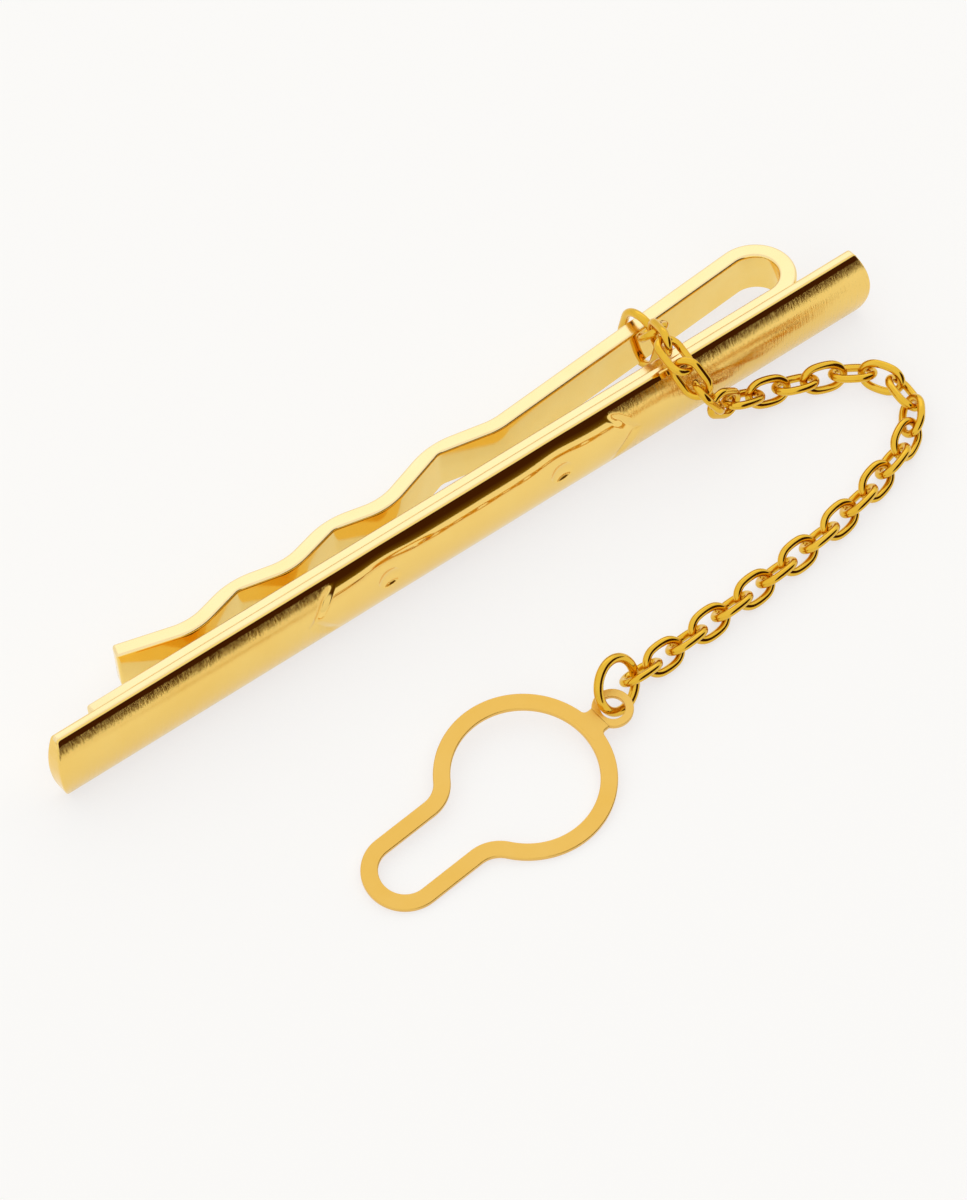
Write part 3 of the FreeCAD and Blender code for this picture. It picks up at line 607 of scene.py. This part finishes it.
def floorFinish():
    # matt studio paper: an even pale tone with no gloss and a fibre that barely shows
    finish, tree = newFinish("paleStudioPaper")
    place = addNode(tree, "ShaderNodeTexCoord").outputs["Object"]
    fibre = addNode(tree, "ShaderNodeTexNoise", {"Scale": 1 / (floorSizes["fibreMm"] * mm), "Detail": 3.0},
                    {"Vector": place})
    bump = addNode(tree, "ShaderNodeBump", {"Strength": 0.02, "Distance": 0.02 * mm},
                   {"Height": fibre.outputs["Fac"]})
    paper = addNode(tree, "ShaderNodeBsdfPrincipled",
                    {"Base Color": hexToLinear(floorSizes["paper"]), "Roughness": 0.9,
                     "Specular IOR Level": 0.1},
                    {"Normal": bump.outputs["Normal"]})
    # seen by the camera or in metal, the paper is lifted towards white and keeps its shadows
    rays = addNode(tree, "ShaderNodeLightPath")
    seen = addNode(tree, "ShaderNodeMath", {"operation": "MAXIMUM"},
                   {0: rays.outputs["Is Camera Ray"], 1: rays.outputs["Is Glossy Ray"]})
    seen = addNode(tree, "ShaderNodeMath", {"operation": "MAXIMUM"},
                   {0: seen.outputs[0], 1: rays.outputs["Is Transmission Ray"]})
    lift = addNode(tree, "ShaderNodeMath", {"operation": "MULTIPLY", 1: floorSizes["lift"]},
                   {0: seen.outputs[0]})
    glow = addNode(tree, "ShaderNodeEmission", {"Color": hexToLinear(floorSizes["glow"])},
                   {"Strength": lift.outputs[0]})
    both = addNode(tree, "ShaderNodeAddShader", {}, {0: paper.outputs["BSDF"], 1: glow.outputs["Emission"]})
    addNode(tree, "ShaderNodeOutputMaterial", {}, {"Surface": both.outputs["Shader"]})
    return finish


floorMesh = bpy.data.meshes.new("studioFloor")
h = floorSizes["half"]
floorMesh.from_pydata([(-h, -h, 0), (h, -h, 0), (h, h, 0), (-h, h, 0)], [], [(0, 1, 2, 3)])
floorMesh.materials.append(floorFinish())
floor = bpy.data.objects.new("studioFloor", floorMesh)
scene.collection.objects.link(floor)

cameraSizes = {"planDegrees": 36.9, "elevation": 55.5, "away": 400.0, "lens": 230.8, "sensor": 36.0,
               "nearest": 0.01, "across": -1.129, "upward": 3.161, "shift": (0.6, 0.71, 0.0)}


def cameraAxes(s):
    # right, up and ahead of the camera, and the level way away from it
    plan, rise = math.radians(s["planDegrees"]), math.radians(s["elevation"])
    right = np.array([math.cos(plan), -math.sin(plan), 0])
    depth = np.array([math.sin(plan), math.cos(plan), 0])
    ahead = depth * math.cos(rise) - np.array([0, 0, math.sin(rise)])
    up = depth * math.sin(rise) + np.array([0, 0, math.cos(rise)])
    return right, up, ahead, depth


right, up, ahead, depthWay = cameraAxes(cameraSizes)
eyePoint = -(right * cameraSizes["across"] + up * cameraSizes["upward"] + ahead * cameraSizes["away"])
eyePoint = (eyePoint - np.array(cameraSizes["shift"])) * mm
cameraData = bpy.data.cameras.new("camera")
cameraData.sensor_fit = "HORIZONTAL"
cameraData.sensor_width = cameraSizes["sensor"]
cameraData.lens = cameraSizes["lens"]
cameraData.clip_start = cameraSizes["nearest"]
camera = bpy.data.objects.new("camera", cameraData)
pose = np.eye(4)
pose[:3, 0], pose[:3, 1], pose[:3, 2], pose[:3, 3] = right, up, -ahead, eyePoint
camera.matrix_world = Matrix(pose.tolist())
scene.collection.objects.link(camera)
scene.camera = camera


def softbox(name, way, away, width, height, radiance):
    # an even oblong light that faces the clip; its power follows from the brightness of its face
    data = bpy.data.lights.new(name, "AREA")
    data.shape = "RECTANGLE"
    data.size, data.size_y = width, height
    data.energy = radiance * math.pi * width * height
    lamp = bpy.data.objects.new(name, data)
    back = unit(way)
    side = unit(np.cross((0, 0, 1), back))
    turn = np.eye(4)
    turn[:3, 0], turn[:3, 1], turn[:3, 2], turn[:3, 3] = side, np.cross(back, side), back, back * away
    lamp.matrix_world = Matrix(turn.tolist())
    scene.collection.objects.link(lamp)


def direction(along, elevation):
    # a level way turned up by an angle
    e = math.radians(elevation)
    return unit(np.asarray(along)) * math.cos(e) + np.array([0, 0, math.sin(e)])


lightSizes = {"backRise": 38.0, "backAway": 0.42, "backWide": 0.42, "backTall": 0.2, "backBright": 0.25}
softbox("backSoftbox", direction(depthWay, lightSizes["backRise"]), lightSizes["backAway"],
        lightSizes["backWide"], lightSizes["backTall"], lightSizes["backBright"])

# the room: a pale ceiling and walls, with one dark corner to the front right that polished metal shows
roomSizes = {"darkTurn": 34.0, "darkRise": 12.0, "darkInner": 38.0, "darkOuter": 45.0}
paleRoom = [(0.0, 0.85), (0.3, 0.95), (0.6, 1.0), (1.0, 1.0)]
darkCorner = [(0.0, "#7E6A1A"), (0.08, "#5A4010"), (0.18, "#40220A"), (1.0, "#361A08")]


def colourRamp(tree, height, stops):
    # colour by height, given as pairs of a height and a linear colour
    ramp = addNode(tree, "ShaderNodeValToRGB", {}, {"Fac": height})
    elements = ramp.color_ramp.elements
    while len(elements) < len(stops):
        elements.new(0.5)
    for element, (place, colour) in zip(elements, stops):
        element.position, element.color = place, colour
    return ramp.outputs["Color"]


world = bpy.data.worlds.new("studioRoom")
scene.world = world
world.use_nodes = True
world.node_tree.nodes.clear()
tree = world.node_tree
way = addNode(tree, "ShaderNodeTexCoord").outputs["Generated"]
height = addNode(tree, "ShaderNodeSeparateXYZ", {}, {"Vector": way}).outputs["Z"]
darkTurn = math.radians(roomSizes["darkTurn"])
darkWay = direction((math.sin(darkTurn), -math.cos(darkTurn), 0), roomSizes["darkRise"])
near = addNode(tree, "ShaderNodeVectorMath", {"operation": "DOT_PRODUCT", 1: darkWay.tolist()}, {0: way})
corner = addNode(tree, "ShaderNodeMapRange",
                 {"interpolation_type": "SMOOTHSTEP",
                  "From Min": math.cos(math.radians(roomSizes["darkOuter"])),
                  "From Max": math.cos(math.radians(roomSizes["darkInner"]))},
                 {"Value": near.outputs["Value"]})
wall = colourRamp(tree, height, [(place, (grey, grey, grey, 1)) for place, grey in paleRoom])
dark = colourRamp(tree, height, [(place, hexToLinear(code)) for place, code in darkCorner])
both = addNode(tree, "ShaderNodeMixRGB", {},
               {"Fac": corner.outputs["Result"], "Color1": wall, "Color2": dark})
room = addNode(tree, "ShaderNodeBackground", {"Strength": 1.0}, {"Color": both.outputs["Color"]})
addNode(tree, "ShaderNodeOutputWorld", {}, {"Surface": room.outputs["Background"]})
print("stage, light and camera set")
